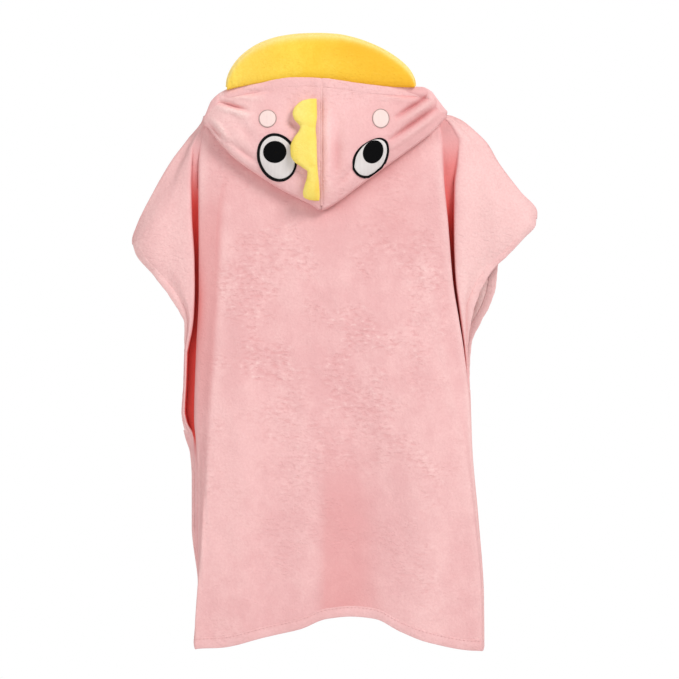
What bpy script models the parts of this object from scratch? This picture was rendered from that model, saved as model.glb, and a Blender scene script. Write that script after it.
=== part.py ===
"""A hooded baby towel: a fleece poncho that hangs by its shoulders, its hood fallen down the back.

Metres, +Z up. The garment's back faces -Y and the wearer would face +Y. The origin is at the neck, on the
shoulder line, where a hanger carries the towel. "Drop" is a distance below the origin. The cloth is
0.60 m wide and 0.60 m from shoulder to hem.
"""

import math

import bmesh
import bpy
from mathutils import Vector

LEFT, RIGHT = -1, 1
BACK, FRONT = -1, 1

FLEECE = 0.0024
HOOD_FLEECE = 0.0022
HEM_DEPTH = 0.012
HEM_THICKNESS = 0.0034
PATCH = 0.0008
GAP = 0.0004
SEAM_RADIUS = 0.0020
EDGE_INSET = 0.0082

SHOULDER_TO_HEM = 0.60
NECK_HALF_WIDTH = 0.085
NECK_SCOOP = 0.042
ARM_BOTTOM = 0.395
SEAM_HALF_GAP = 0.0036

NAPE = Vector((0.0, -0.0156, -0.004))
HOOD_CENTRE = -0.004
BILL_BASE = Vector((-0.004, -0.036, 0.012))

PINK = (0.87, 0.50, 0.50, 1.0)
PALE_PINK = (0.95, 0.76, 0.70, 1.0)
YELLOW = (0.97, 0.63, 0.07, 1.0)
LIGHT_YELLOW = (0.96, 0.78, 0.15, 1.0)
WHITE = (0.88, 0.87, 0.86, 1.0)
BLACK = (0.02, 0.02, 0.025, 1.0)
BROWN = (0.42, 0.30, 0.28, 1.0)


def smooth(*points):
    """A smooth function through (key, value) points, level beyond the ends and where the values turn."""
    keys = [key for key, _ in points]
    values = [value for _, value in points]
    rises = [(b - a) / (k - j) for j, k, a, b in zip(keys, keys[1:], values, values[1:])]
    slopes = [0.0] + [2 * a * b / (a + b) if a * b > 0 else 0.0 for a, b in zip(rises, rises[1:])] + [0.0]

    def at(key):
        if key <= keys[0]:
            return values[0]
        if key >= keys[-1]:
            return values[-1]
        i = max(n for n, start in enumerate(keys) if start <= key)
        span = keys[i + 1] - keys[i]
        f = (key - keys[i]) / span
        return (
            values[i] * (1 + 2 * f) * (1 - f) ** 2
            + values[i + 1] * f * f * (3 - 2 * f)
            + slopes[i] * span * f * (1 - f) ** 2
            + slopes[i + 1] * span * f * f * (f - 1)
        )

    return at


def mix(a, b, f):
    return a + (b - a) * f


def rounded(f):
    """The height of a quarter circle of radius 1, f along its base."""
    f = min(1.0, max(0.0, f))
    return math.sqrt(1 - (1 - f) ** 2)


# The outlines of the hanging cloth, as (drop, distance from the middle).
BACK_OUTLINE = {
    LEFT: smooth(
        (0.022, 0.143), (0.050, 0.162), (0.074, 0.180), (0.110, 0.201), (0.152, 0.2216), (0.167, 0.226),
        (0.181, 0.2227), (0.208, 0.2008), (0.241, 0.1766), (0.266, 0.165), (0.328, 0.1665), (0.370, 0.1685),
        (0.395, 0.164), (0.415, 0.158), (0.444, 0.156), (0.500, 0.156), (0.573, 0.1485), (0.640, 0.1535),
    ),
    RIGHT: smooth(
        (0.017, 0.142), (0.028, 0.1616), (0.039, 0.175), (0.054, 0.190), (0.076, 0.203), (0.110, 0.2285),
        (0.134, 0.248), (0.148, 0.247), (0.163, 0.234), (0.185, 0.2135), (0.198, 0.1996), (0.220, 0.185),
        (0.246, 0.175), (0.290, 0.168), (0.352, 0.170), (0.410, 0.172), (0.490, 0.179), (0.583, 0.1855),
        (0.640, 0.186),
    ),
}
FRONT_OUTLINE = {
    LEFT: BACK_OUTLINE[LEFT],
    RIGHT: smooth(
        (0.017, 0.142), (0.028, 0.1616), (0.039, 0.175), (0.054, 0.190), (0.076, 0.203), (0.110, 0.2285),
        (0.134, 0.248), (0.148, 0.247), (0.163, 0.234), (0.189, 0.206), (0.216, 0.203), (0.238, 0.197),
        (0.264, 0.1835), (0.2885, 0.173), (0.352, 0.170), (0.410, 0.172), (0.490, 0.179), (0.583, 0.1855),
        (0.640, 0.186),
    ),
}
TIP_DROP = {LEFT: 0.167, RIGHT: 0.136}

# The folds that run down each side, as (drop, distance from the middle).
RIDGE = {
    LEFT: smooth((0.0, 0.092), (0.10, 0.104), (0.187, 0.114), (0.313, 0.125), (0.444, 0.136), (0.567, 0.143)),
    RIGHT: smooth((0.0, 0.092), (0.10, 0.108), (0.20, 0.122), (0.33, 0.140), (0.46, 0.152), (0.60, 0.160)),
}
RIM = {
    LEFT: smooth((0.0, 0.120), (0.040, 0.138), (0.082, 0.1465), (0.395, 0.1465), (0.450, 0.149), (0.573, 0.146)),
    RIGHT: smooth((0.0, 0.118), (0.039, 0.129), (0.095, 0.136), (0.207, 0.146), (0.291, 0.157), (0.45, 0.168)),
}
WING = {
    LEFT: smooth((0.0, 0.138), (0.05, 0.153), (0.10, 0.157), (0.237, 0.156), (0.317, 0.162), (0.415, 0.155)),
    RIGHT: smooth((0.0, 0.136), (0.039, 0.158), (0.095, 0.155), (0.216, 0.157), (0.273, 0.164), (0.45, 0.172)),
}

# Depths of the cloth from the shoulder line's plane, as (drop, depth).
PANEL_DEPTH = smooth((0.0, 0.012), (0.05, 0.018), (0.13, 0.024), (0.30, 0.032), (0.60, 0.040))
RIM_DEPTH = smooth((0.0, 0.008), (0.10, 0.020), (0.30, 0.027), (0.60, 0.030))
GROOVE_DEPTH = smooth((0.0, 0.0045), (0.365, 0.0055), (0.42, 0.020))
WING_DEPTH = smooth((0.0, 0.007), (0.08, 0.014), (0.20, 0.021), (0.34, 0.014), (0.42, 0.012))
ARM_DEPTH = smooth((0.165, SEAM_HALF_GAP), (0.23, 0.016), (0.34, 0.012), (0.385, 0.0045), (0.40, SEAM_HALF_GAP))

SHOULDER = smooth((0.0, 0.0), (0.04, 0.001), (0.085, 0.006), (0.115, 0.012), (0.145, 0.020))
HEM = smooth(
    (-0.155, 0.637), (-0.121, 0.636), (-0.075, 0.6255), (-0.029, 0.615), (0.003, 0.603), (0.029, 0.601),
    (0.058, 0.6035), (0.086, 0.617), (0.121, 0.630), (0.167, 0.639), (0.186, 0.639),
)

# Where each fold lies on the way from the middle of the cloth (0) to its side edge (1).
FOLDS = (0.0, 0.26, 0.50, 0.64, 0.73, 0.82, 1.0)


def across(t):
    """The side that t lies on and how far out it is, for t from -1 at the left edge to 1 at the right."""
    return (LEFT if t < 0 else RIGHT), abs(t)


def section(layer, side, drop):
    """Two functions of the way out from the middle: the distance from the middle and the depth."""
    outline = (BACK_OUTLINE if layer == BACK else FRONT_OUTLINE)[side]
    edge = outline(drop) - EDGE_INSET
    ridge, rim, wing = RIDGE[side](drop), RIM[side](drop), WING[side](drop)
    wing = min(wing, mix(rim, edge, 0.6))
    rim = min(rim, wing - 0.001)
    groove = (rim + wing) / 2
    depth = PANEL_DEPTH(drop)
    xs = (0.0, ridge * 0.52, ridge, rim, groove, wing, edge)
    ys = (
        depth, depth, depth * 0.97, RIM_DEPTH(drop), GROOVE_DEPTH(drop), WING_DEPTH(drop), ARM_DEPTH(drop),
    )
    return smooth(*zip(FOLDS, xs)), smooth(*zip(FOLDS, ys))


def top_drop(layer, t):
    """The drop of the cloth's top edge."""
    side, out = across(t)
    x, _ = section(layer, side, 0.010)
    drop = SHOULDER(x(out)) + SEAM_HALF_GAP
    if layer == FRONT and x(out) < NECK_HALF_WIDTH:
        drop += NECK_SCOOP * rounded(1 - x(out) / NECK_HALF_WIDTH)
    return drop


def cloth_point(layer, t, v):
    """A point of a panel: t from -1 to 1 across, v from 0 at the shoulder to 1 at the hem."""
    side, out = across(t)
    top = top_drop(layer, t)
    x, _ = section(layer, side, SHOULDER_TO_HEM)
    bottom = HEM(side * x(out))
    drop = mix(top, bottom, v)
    x, depth = section(layer, side, drop)
    y = depth(out)
    sewn = min(1.0, max(0.0, (x(out) - NECK_HALF_WIDTH) / 0.02))
    curl = mix(1.0, rounded((drop - top) / 0.022), sewn)
    y = mix(SEAM_HALF_GAP, y, curl)
    return Vector((side * x(out), layer * y, -drop))


def material(name, colour, roughness=0.95):
    made = bpy.data.materials.new(name)
    made.use_nodes = True
    shader = made.node_tree.nodes["Principled BSDF"]
    shader.inputs["Base Color"].default_value = colour
    shader.inputs["Roughness"].default_value = roughness
    shader.inputs["Metallic"].default_value = 0.0
    made.diffuse_color = colour
    return made


def add_object(name, data, colour):
    made = bpy.data.objects.new(name, data)
    bpy.context.scene.collection.objects.link(made)
    data.materials.append(material(name, colour))
    return made


def sheet(name, place, columns, rows, thickness, colour, closed=False):
    """A flexible sheet: a grid put in place by place(s, t), with s and t from 0 to 1, made thick both ways."""
    grid = bmesh.new()
    bmesh.ops.create_grid(grid, x_segments=columns, y_segments=rows, size=0.5)
    for vertex in grid.verts:
        vertex.co = place(vertex.co.x + 0.5, vertex.co.y + 0.5)
    if closed:
        bmesh.ops.remove_doubles(grid, verts=grid.verts, dist=1e-6)
    mesh = bpy.data.meshes.new(name)
    grid.to_mesh(mesh)
    grid.free()
    mesh.shade_smooth()
    made = add_object(name, mesh, colour)
    solid = made.modifiers.new("thickness", "SOLIDIFY")
    solid.thickness = thickness
    solid.offset = 0.0
    return made


def bead(name, points, radius, colour, closed=False, sides=1):
    """A round seam through the points."""
    curve = bpy.data.curves.new(name, "CURVE")
    curve.dimensions = "3D"
    curve.bevel_depth = radius
    curve.bevel_resolution = sides
    curve.use_fill_caps = True
    line = curve.splines.new("POLY")
    line.points.add(len(points) - 1)
    for target, point in zip(line.points, points):
        target.co = (*point, 1.0)
    line.use_cyclic_u = closed
    return add_object(name, curve, colour)


def lens(name, place, half_thickness, colour, segments=16, rings=8):
    """A padded filling: a sphere whose middle plane is put in place by place(a, b) on the unit disc."""
    ball = bmesh.new()
    bmesh.ops.create_uvsphere(ball, u_segments=segments, v_segments=rings, radius=1.0)
    for vertex in ball.verts:
        a, b, c = vertex.co
        vertex.co = place(a, b) + Vector((0.0, c * half_thickness, 0.0))
    if ball.calc_volume(signed=True) < 0:
        bmesh.ops.reverse_faces(ball, faces=ball.faces)
    mesh = bpy.data.meshes.new(name)
    ball.to_mesh(mesh)
    ball.free()
    mesh.shade_smooth()
    return add_object(name, mesh, colour)


def disc_place(centre, half_sizes, lift, tilt=0.0):
    """Puts a square grid on a round patch that follows the hood, and keeps its cells even."""
    def place(s, t):
        a, b = 2 * s - 1, 2 * t - 1
        u, w = a * math.sqrt(1 - b * b / 2), b * math.sqrt(1 - a * a / 2)
        return oval_point(centre, half_sizes, lift, tilt, u, w)
    return place


def ring_place(centre, half_sizes, width, lift, tilt=0.0):
    """Puts a grid round the rim of a patch: s goes round it and t across its width."""
    def place(s, t):
        angle = 2 * math.pi * s
        sizes = [half + width * t for half in half_sizes]
        return oval_point(centre, sizes, lift, tilt, math.cos(angle), math.sin(angle))
    return place


def oval_point(centre, half_sizes, lift, tilt, u, w):
    across_it, up_it = u * half_sizes[0], w * half_sizes[1]
    x = centre[0] + across_it * math.cos(tilt) - up_it * math.sin(tilt)
    z = centre[1] + across_it * math.sin(tilt) + up_it * math.cos(tilt)
    return Vector((x, hood_depth(x, z) - lift, z))


# The hood hangs flat with its opening upwards. Its outline is given by the distance from its middle.
HOOD_TOP = {
    LEFT: smooth(
        (0.0, 0.0187), (0.031, 0.0192), (0.064, 0.0148), (0.108, 0.0061), (0.125, -0.0035), (0.131, -0.013),
        (0.137, -0.026),
    ),
    RIGHT: smooth(
        (0.0, 0.0187), (0.026, 0.0138), (0.063, 0.0092), (0.105, 0.0092), (0.124, 0.006), (0.137, -0.0092),
        (0.146, -0.018),
    ),
}
HOOD_LOW = {
    LEFT: smooth(
        (0.0, -0.1326), (0.012, -0.126), (0.0465, -0.1087), (0.0733, -0.0915), (0.100, -0.0724), (0.1175, -0.0545),
        (0.137, -0.033),
    ),
    RIGHT: smooth(
        (0.0, -0.1326), (0.012, -0.127), (0.0453, -0.1029), (0.074, -0.0819), (0.103, -0.0608), (0.128, -0.0417),
        (0.146, -0.0245),
    ),
}
HOOD_REACH = {LEFT: 0.134, RIGHT: 0.141}
HOOD_FOLD = 0.003
HOOD_HEM = 0.0052


def hood_side(x):
    return (LEFT if x < HOOD_CENTRE else RIGHT), abs(x - HOOD_CENTRE)


def under_depth(z):
    """Where the hood's under layer lies, just clear of the back panel."""
    return -(PANEL_DEPTH(-z) + 0.0036)


def hood_gap(x, z):
    """The space between the hood's two layers."""
    side, out = hood_side(x)
    top, low = HOOD_TOP[side](out), HOOD_LOW[side](out)
    up = (z - low) / max(0.004, top - low)
    full = 0.019 * (1 - (out / 0.150) ** 3)
    return 2 * HOOD_FOLD + full * rounded(min(1.0, up * 1.3)) * (1 - 0.15 * max(0.0, up))


def hood_depth(x, z):
    """The depth of the hood's outer layer."""
    return under_depth(z) - hood_gap(x, z)


def hood_half(name, side):
    """Half the hood: from the face edge down the outer layer, round the fold and up to the nape."""
    outer_share, fold_share = 0.52, 0.10

    def place(s, t):
        out = mix(0.0008, HOOD_REACH[side], s)
        x = HOOD_CENTRE + side * out
        top, low = HOOD_TOP[side](out) - HOOD_HEM, HOOD_LOW[side](out)
        turn = low + HOOD_FOLD
        if t < outer_share:
            z = mix(top, turn, t / outer_share)
            return Vector((x, hood_depth(x, z), z))
        if t < outer_share + fold_share:
            angle = math.pi * (t - outer_share) / fold_share
            near, far = hood_depth(x, turn), under_depth(turn)
            y = (near + far) / 2 - (far - near) / 2 * math.cos(angle)
            return Vector((x, y, turn - HOOD_FOLD * math.sin(angle)))
        nape = min(NAPE.z, top)
        z = mix(turn, nape, (t - outer_share - fold_share) / (1 - outer_share - fold_share))
        return Vector((x, under_depth(z), z))

    return sheet(name, place, 8, 20, HOOD_FLEECE, PINK)


def hood_edge(x):
    side, out = hood_side(x)
    z = HOOD_TOP[side](out)
    return Vector((x, hood_depth(x, z - HOOD_HEM), z - SEAM_RADIUS))


# The bill is a crescent that stands on the hood's face edge, and the crest has three lobes.
BILL_LEFT, BILL_RIGHT = -0.1125, 0.1025
BILL_TOP = smooth(
    (-0.1125, 0.014), (-0.104, 0.031), (-0.077, 0.056), (-0.035, 0.0682), (-0.008, 0.0684), (0.022, 0.0645),
    (0.051, 0.0569), (0.076, 0.0444), (0.091, 0.0329), (0.1025, 0.016),
)
BILL_HALF_THICKNESS = 0.0055
BILL_COVER = 0.0012


def bill_low(x):
    side, out = hood_side(x)
    return HOOD_TOP[side](out) + GAP + 0.0008


def bill_cover_place(face):
    def place(s, t):
        x = mix(BILL_LEFT, BILL_RIGHT, s)
        up = t
        z = mix(bill_low(x), BILL_TOP(x), up)
        puff = rounded(min(1.0, 4 * min(s, 1 - s))) * math.sqrt(max(0.0, 1 - (1.9 * up - 0.9) ** 4))
        away = 0.0010 + (BILL_HALF_THICKNESS - 0.0010) * puff
        return Vector((x, BILL_BASE.y + face * away, z))
    return place


def bill_padding_place(a, b):
    x = mix(BILL_LEFT, BILL_RIGHT, 0.5 + 0.47 * a)
    low, high = bill_low(x), BILL_TOP(x)
    limit = math.sqrt(max(0.0, 1 - a * a))
    share = 0.5 if limit == 0 else 0.5 + 0.40 * b / max(limit, abs(b))
    return Vector((x, BILL_BASE.y, mix(low, high, share)))


CREST_ROOT = smooth((0.006, -0.0105), (0.040, -0.0113), (0.077, -0.0095), (0.086, -0.0076), (0.121, -0.0053))
CREST_EDGE = smooth(
    (0.006, -0.0170), (0.0125, -0.0270), (0.0205, -0.0358), (0.031, -0.0316), (0.0384, -0.0282), (0.0485, -0.0335),
    (0.062, -0.0388), (0.0735, -0.0375), (0.088, -0.0187), (0.0955, -0.0196), (0.112, -0.0242), (0.121, -0.0150),
)
CREST_TOP, CREST_BOTTOM = 0.006, 0.121
CREST_LIFT = 0.0052
CREST_HALF_THICKNESS = 0.0036
CREST_AXIS = Vector((-0.0085, -0.053, -0.060))


def crest_place(face):
    def place(s, t):
        drop = mix(CREST_TOP, CREST_BOTTOM, t)
        x = mix(CREST_ROOT(drop), CREST_EDGE(drop), s)
        middle = hood_depth(x, -drop) - CREST_LIFT - CREST_HALF_THICKNESS
        ends = rounded(min(1.0, 5 * min(t, 1 - t)))
        puff = ends * math.sqrt(max(0.0, 1 - (2 * s - 1) ** 4))
        away = 0.0009 + (CREST_HALF_THICKNESS - 0.0009) * puff
        return Vector((x, middle + face * away, -drop))
    return place


def crest_padding_place(a, b):
    drop = mix(CREST_TOP, CREST_BOTTOM, 0.5 + 0.44 * a)
    limit = math.sqrt(max(0.0, 1 - a * a))
    share = 0.5 if limit == 0 else 0.5 + 0.32 * b / max(limit, abs(b))
    x = mix(CREST_ROOT(drop), CREST_EDGE(drop), share)
    return Vector((x, hood_depth(x, -drop) - CREST_LIFT - CREST_HALF_THICKNESS, -drop))


def build_panels():
    hem_start = 1 - HEM_DEPTH / SHOULDER_TO_HEM
    hem_gap = (HEM_DEPTH + GAP) / SHOULDER_TO_HEM
    for name, layer in (("back", BACK), ("front", FRONT)):
        sheet(
            name + "_panel", lambda s, t, a=layer: cloth_point(a, 2 * s - 1, t * (1 - hem_gap)),
            26, 18, FLEECE, PINK,
        )
        sheet(
            name + "_hem", lambda s, t, a=layer: cloth_point(a, 2 * s - 1, mix(hem_start, 1, t)),
            26, 1, HEM_THICKNESS, PINK,
        )


def steps(first, last, count):
    return [mix(first, last, n / (count - 1)) for n in range(count)]


def build_seams():
    for name, side in (("left", LEFT), ("right", RIGHT)):
        outline = BACK_OUTLINE[side]
        tip = TIP_DROP[side]
        shoulder = [
            Vector((side * x, 0.0, -SHOULDER(x) - SEAM_RADIUS)) for x in steps(NECK_HALF_WIDTH + 0.006, 0.136, 6)
        ]
        shoulder += [
            Vector((side * (outline(drop) - SEAM_RADIUS), 0.0, -drop)) for drop in steps(0.024, tip - 0.010, 12)
        ]
        bead("shoulder_seam_" + name, shoulder, SEAM_RADIUS, PINK)
        seam = [
            Vector((side * (outline(drop) - SEAM_RADIUS), 0.0, -drop)) for drop in steps(ARM_BOTTOM + 0.008, 0.637, 14)
        ]
        bead("side_seam_" + name, seam, SEAM_RADIUS, PINK)
        edge = []
        for layer, drops in ((BACK, steps(ARM_BOTTOM - 0.012, tip + 0.003, 20)),
                             (FRONT, steps(tip + 0.003, ARM_BOTTOM - 0.012, 20))):
            limit = (BACK_OUTLINE if layer == BACK else FRONT_OUTLINE)[side]
            for drop in drops:
                away = ARM_DEPTH(drop) - SEAM_HALF_GAP * max(0.0, 1 - (drop - tip) / 0.02)
                edge.append(Vector((side * (limit(drop) - SEAM_RADIUS), layer * max(0.0004, away), -drop)))
        bead("sleeve_hem_" + name, edge, SEAM_RADIUS, PINK)


def build_neck():
    count = 36
    points = []
    for n in range(count):
        angle = 2 * math.pi * n / count
        x = NECK_HALF_WIDTH * math.cos(angle)
        reach = PANEL_DEPTH(0.0) * math.sin(angle)
        drop = SHOULDER(abs(x)) - 0.003
        if reach < 0:
            points.append(Vector((x, reach, -drop)))
        else:
            scoop = NECK_SCOOP * rounded(1 - abs(x) / NECK_HALF_WIDTH)
            points.append(Vector((x, PANEL_DEPTH(drop + scoop) * math.sin(angle), -drop - scoop)))
    bead("neck_binding", points, SEAM_RADIUS, PINK, closed=True)


def build_hood():
    hood_half("hood_left", LEFT)
    hood_half("hood_right", RIGHT)
    drops = steps(0.006, -HOOD_LOW[LEFT](0.0) - 0.004, 14)
    lift = HOOD_FLEECE / 2 + GAP + 0.0012
    seam = [Vector((HOOD_CENTRE, hood_depth(HOOD_CENTRE, -drop) - lift, -drop)) for drop in drops]
    bead("hood_centre_seam", seam, 0.0012, PINK)
    edge = [hood_edge(x) for x in steps(HOOD_CENTRE - HOOD_REACH[LEFT], HOOD_CENTRE + HOOD_REACH[RIGHT], 40)]
    bead("hood_face_hem", edge, SEAM_RADIUS, PINK)


def build_bill():
    sheet("bill_back_cover", bill_cover_place(-1), 18, 5, BILL_COVER, YELLOW)
    sheet("bill_front_cover", bill_cover_place(1), 18, 5, BILL_COVER, YELLOW)
    lens("bill_padding", bill_padding_place, BILL_HALF_THICKNESS - 0.0030, WHITE)


def build_crest():
    sheet("crest_outer_cover", crest_place(-1), 4, 22, BILL_COVER, LIGHT_YELLOW)
    sheet("crest_inner_cover", crest_place(1), 4, 22, BILL_COVER, LIGHT_YELLOW)
    lens("crest_padding", crest_padding_place, CREST_HALF_THICKNESS - 0.0028, WHITE)


def build_face():
    low_lift = HOOD_FLEECE / 2 + 3 * GAP + PATCH / 2
    high_lift = low_lift + PATCH + GAP
    outline = 0.0024
    eyes = (
        ("left", (-0.0555, -0.0743), (0.0172, 0.0250), 0.33, (-0.0578, -0.0655), (0.0125, 0.0118)),
        ("right", (0.0515, -0.0715), (0.0140, 0.0225), -0.70, (0.0555, -0.0665), (0.0120, 0.0125)),
    )
    for name, centre, sizes, tilt, pupil, pupil_sizes in eyes:
        sheet("eye_white_" + name, disc_place(centre, sizes, low_lift, tilt), 6, 6, PATCH, WHITE)
        rim = [size + GAP for size in sizes]
        sheet("eye_outline_" + name, ring_place(centre, rim, outline, low_lift, tilt), 28, 1, PATCH, BLACK, True)
        sheet("pupil_" + name, disc_place(pupil, pupil_sizes, high_lift), 5, 5, PATCH, BLACK)
    for name, centre in (("left", (-0.0658, -0.0288)), ("right", (0.0635, -0.0284))):
        sheet("cheek_patch_" + name, disc_place(centre, (0.0094, 0.0094), low_lift), 5, 5, PATCH, PALE_PINK)
        rim = (0.0094 + GAP, 0.0094 + GAP)
        sheet("cheek_outline_" + name, ring_place(centre, rim, 0.0012, low_lift), 20, 1, PATCH, BROWN, True)


def add_axes():
    """Empties on the joint axes, with the pieces that turn about them."""
    groups = {
        "hood_axis": (NAPE, ("hood_", "eye_", "pupil_", "cheek_", "bill_axis", "crest_axis")),
        "bill_axis": (BILL_BASE, ("bill_back", "bill_front", "bill_padding")),
        "crest_axis": (CREST_AXIS, ("crest_outer", "crest_inner", "crest_padding")),
    }
    empties = {}
    for name, (place, _) in groups.items():
        empty = bpy.data.objects.new(name, None)
        empty.location = place
        bpy.context.scene.collection.objects.link(empty)
        empties[name] = empty
    bpy.context.view_layer.update()
    for name, (_, starts) in groups.items():
        for child in bpy.data.objects:
            if child is not empties[name] and child.name.startswith(starts):
                place = child.matrix_world.copy()
                child.parent = empties[name]
                child.matrix_parent_inverse = empties[name].matrix_world.inverted()
                child.matrix_world = place
                bpy.context.view_layer.update()


for old in list(bpy.data.objects):
    bpy.data.objects.remove(old, do_unlink=True)
build_panels()
build_seams()
build_neck()
build_hood()
build_bill()
build_crest()
build_face()
add_axes()
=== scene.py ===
"""A hooded baby towel, hung by its shoulders, with its hood fallen down the back.

Metres, +Z up. The garment's back faces -Y. The origin is at the neck, on the shoulder line. "Drop" is a distance
below the origin, and "out" runs from 0 in the middle of the cloth to 1 at its side edge.
"""

import math

import bmesh
import bpy
import numpy as np
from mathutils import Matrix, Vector, noise


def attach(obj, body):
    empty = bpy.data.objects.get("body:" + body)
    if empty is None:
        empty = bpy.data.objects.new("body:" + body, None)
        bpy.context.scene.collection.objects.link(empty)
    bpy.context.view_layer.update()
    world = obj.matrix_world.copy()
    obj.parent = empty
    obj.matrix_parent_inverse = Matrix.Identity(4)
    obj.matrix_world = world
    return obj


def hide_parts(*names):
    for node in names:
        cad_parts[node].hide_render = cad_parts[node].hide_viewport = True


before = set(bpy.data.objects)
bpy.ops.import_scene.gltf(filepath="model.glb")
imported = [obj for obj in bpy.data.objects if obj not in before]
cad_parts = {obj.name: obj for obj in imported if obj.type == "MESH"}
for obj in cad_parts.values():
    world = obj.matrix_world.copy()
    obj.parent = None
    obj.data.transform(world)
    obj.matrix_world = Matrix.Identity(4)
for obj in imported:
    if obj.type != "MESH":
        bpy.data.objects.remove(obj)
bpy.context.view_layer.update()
bpy.ops.object.select_all(action="DESELECT")

LEFT, RIGHT = -1, 1
BACK, FRONT = -1, 1

FLEECE = 0.0022
HOOD_FLEECE = 0.0022
SHOULDER_TO_HEM = 0.6
NECK_HALF_WIDTH = 0.085
NECK_SCOOP = 0.042
SEAM_HALF_GAP = 0.0015
SEAM_RADIUS = 0.0021
NECK_ROLL = (0.0022, 0.003)
SHOULDER_END = 0.138
HEM_DEPTH = 0.012
SLEEVE_HEM = 0.01


# ---------------------------------------------------------------- smooth functions

def smooth(*points):
    """A smooth function through (key, value) points, level beyond the ends and where the values turn."""
    keys = np.array([key for key, _ in points], float)
    values = np.array([value for _, value in points], float)
    return lambda at: through(keys, np.broadcast_to(values, (*np.shape(at), len(values))), np.asarray(at, float))


def smooth_mm(*points):
    """As smooth, with keys and values in millimetres."""
    return smooth(*((key / 1000, value / 1000) for key, value in points))


def through(keys, values, at):
    """Values at the places "at" of smooth lines through keys, where the last axis of values goes with the keys."""
    steps = np.diff(keys)
    rises = np.diff(values, axis=-1) / steps
    left, right = rises[..., :-1], rises[..., 1:]
    product = left * right
    turns = product <= 0
    inner = np.where(turns, 0.0, 2 * product / np.where(turns, 1.0, left + right))
    slopes = np.concatenate([np.zeros_like(inner[..., :1]), inner, np.zeros_like(inner[..., :1])], axis=-1)
    at = np.clip(at, keys[0], keys[-1])
    i = np.clip(np.searchsorted(keys, at, side="right") - 1, 0, len(steps) - 1)
    span = steps[i]
    f = (at - keys[i]) / span

    def pick(table, index):
        return np.take_along_axis(table, index[..., None], axis=-1)[..., 0]

    return (
        pick(values, i) * (1 + 2 * f) * (1 - f) ** 2
        + pick(values, i + 1) * f * f * (3 - 2 * f)
        + pick(slopes, i) * span * f * (1 - f) ** 2
        + pick(slopes, i + 1) * span * f * f * (f - 1)
    )


def mix(a, b, f):
    return a + (b - a) * f


def clamp(value):
    return np.clip(value, 0, 1)


def places(x, y, z):
    """Points from their x, y and z."""
    return np.stack(np.broadcast_arrays(x, y, z), axis=-1)


def round_angles(count):
    return np.linspace(0, 2 * math.pi, count, endpoint=False)


def ease(value, start, end):
    """0 before start, 1 after end, and smooth between."""
    f = clamp((value - start) / (end - start))
    return f * f * (3 - 2 * f)


def bell(value, middle, width):
    return np.exp(-((value - middle) / width) ** 2)


def rounded(f):
    """The height of a quarter circle of radius 1, f along its base."""
    return np.sqrt(1 - (1 - clamp(f)) ** 2)


def crowded(start, end, count):
    """Numbers in order, from start to end of 0 to 1, that lie closest together at 0 and at 1."""
    return 0.5 - 0.5 * np.cos(np.linspace(start, end, count) * math.pi)


def inside(*gaps):
    """How far inside a shape a place is, from its distances to the shape's edges."""
    return 1 / np.sqrt(sum(1 / np.maximum(gap, 1e-5) ** 2 for gap in gaps))


def waver(x, z, size, seed):
    """Soft noise between -1 and 1, with features about as large as size."""
    flat_x, flat_z = np.broadcast_arrays(x, z)
    found = [noise.noise(Vector((a / size, seed, b / size))) for a, b in zip(flat_x.ravel(), flat_z.ravel())]
    return np.array(found).reshape(flat_x.shape)


def crease(x, z, start, end, width):
    """1 along the line from start to end, fading over width to both sides and towards the line's ends."""
    a, b = np.array(start), np.array(end)
    along = b - a
    length = np.hypot(*along)
    s = ((x - a[0]) * along[0] + (z - a[1]) * along[1]) / length ** 2
    near = clamp(s)
    distance = np.hypot(x - a[0] - near * along[0], z - a[1] - near * along[1])
    return bell(distance, 0, width) * (0.35 + 0.65 * np.sin(math.pi * near))


# ---------------------------------------------------------------- how the cloth hangs

RIGHT_SHOULDER = (
    (17, 142), (28, 161.6), (39, 175), (54, 190), (76, 203), (110, 228.5), (134, 248), (148, 247), (163, 234),
)
RIGHT_SIDE = ((352, 170), (410, 172), (490, 179), (583, 185.5), (640, 186))
OUTLINE = {
    (BACK, LEFT): smooth_mm(
        (22, 143), (50, 162), (74, 180), (110, 201), (152, 221.6), (167, 226), (181, 222.7), (208, 200.8),
        (241, 176.6), (266, 165), (328, 166.5), (370, 168.5), (395, 164), (415, 158), (444, 156), (500, 156),
        (573, 148.5), (640, 153.5),
    ),
    (BACK, RIGHT): smooth_mm(
        *RIGHT_SHOULDER, (185, 213.5), (198, 199.6), (220, 185), (246, 175), (290, 168), *RIGHT_SIDE,
    ),
    (FRONT, RIGHT): smooth_mm(
        *RIGHT_SHOULDER, (189, 206), (216, 203), (238, 197), (264, 183.5), (288.5, 173), *RIGHT_SIDE,
    ),
}
OUTLINE[FRONT, LEFT] = OUTLINE[BACK, LEFT]
TIP_DROP = {LEFT: 0.167, RIGHT: 0.137}
ARM_BOTTOM = {LEFT: 0.392, RIGHT: 0.345}

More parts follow.
